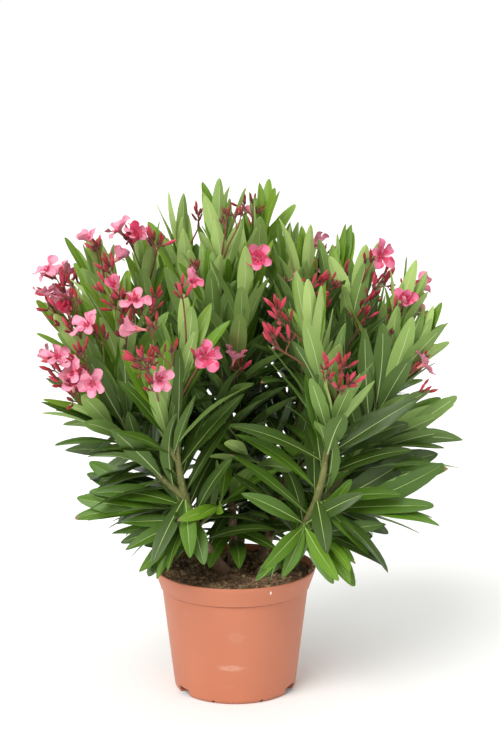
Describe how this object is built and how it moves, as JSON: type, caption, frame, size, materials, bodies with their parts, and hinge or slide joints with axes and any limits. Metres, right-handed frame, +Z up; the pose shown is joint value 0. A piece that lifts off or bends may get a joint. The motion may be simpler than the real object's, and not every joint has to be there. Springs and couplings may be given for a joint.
{
  "type": "potted oleander",
  "caption": "Bushy flowering oleander shrub with narrow whorled leaves, pink blossom and red buds, standing in its round, rimmed plant pot.",
  "frame": {"origin": "centre of the pot's flat underside, on the surface it stands on", "axes": "+Z up, -Y to the front that the plant is seen from, +X to the right of that view"},
  "size_m": [0.494, 0.3955, 0.6],
  "materials": {
    "pot": "moulded terracotta-coloured plastic, satin, lightly scuffed",
    "compost": "moist dark peat compost, crumbly and matt",
    "bark": "grey-brown woody stem with leaf scars, matt",
    "green_wood": "smooth green young shoot, satin",
    "foliage": "leathery leaf with a pale midrib, satin on top and matt below"
  },
  "bodies": {
    "root": {"pot": "pot", "soil": "compost", "stem_left": "bark", "stem_right": "bark", "stem_middle": "bark", "stem_back_left": "bark", "stem_back_right": "bark", "stem_back": "bark", "bough_left": "green_wood", "bough_right": "green_wood", "bough_upper_left": "green_wood", "bough_low_left": "green_wood", "bough_top_left": "green_wood", "bough_top_right": "green_wood", "bough_upper_right": "green_wood", "bough_low_right": "green_wood", "bough_back_left": "green_wood", "bough_back_right": "green_wood", "leaves_far_left": "foliage", "leaves_low_left": "foliage", "leaves_mid_left": "foliage", "leaves_front_left": "foliage", "leaves_inner_left": "foliage", "leaves_upper_left": "foliage", "leaves_high_left": "foliage", "leaves_top_left": "foliage", "leaves_top_front": "foliage", "leaves_top_middle": "foliage", "leaves_top_right": "foliage", "leaves_middle": "foliage", "leaves_inner_right": "foliage", "leaves_upper_right": "foliage", "leaves_high_right": "foliage", "leaves_flowering_right": "foliage", "leaves_outer_right": "foliage", "leaves_side_right": "foliage", "leaves_far_right": "foliage", "leaves_front_right": "foliage", "leaves_low_right": "foliage", "leaves_back_left": "foliage", "leaves_low_back_left": "foliage", "leaves_back": "foliage", "leaves_low_back": "foliage", "leaves_back_right": "foliage", "leaves_low_back_right": "foliage", "leaves_side_left": "foliage", "leaves_outer_left": "foliage", "leaves_outer_back": "foliage", "leaves_side_back": "foliage", "skirt_left": "foliage", "skirt_front_left": "foliage", "skirt_inner_left": "foliage", "skirt_right": "foliage", "skirt_low_right": "foliage", "skirt_front_right": "foliage", "skirt_upper_right": "foliage", "leaves_low_middle": "foliage", "skirt_back_left": "foliage", "skirt_back": "foliage", "skirt_back_right": "foliage"}
  },
  "joints": []
}
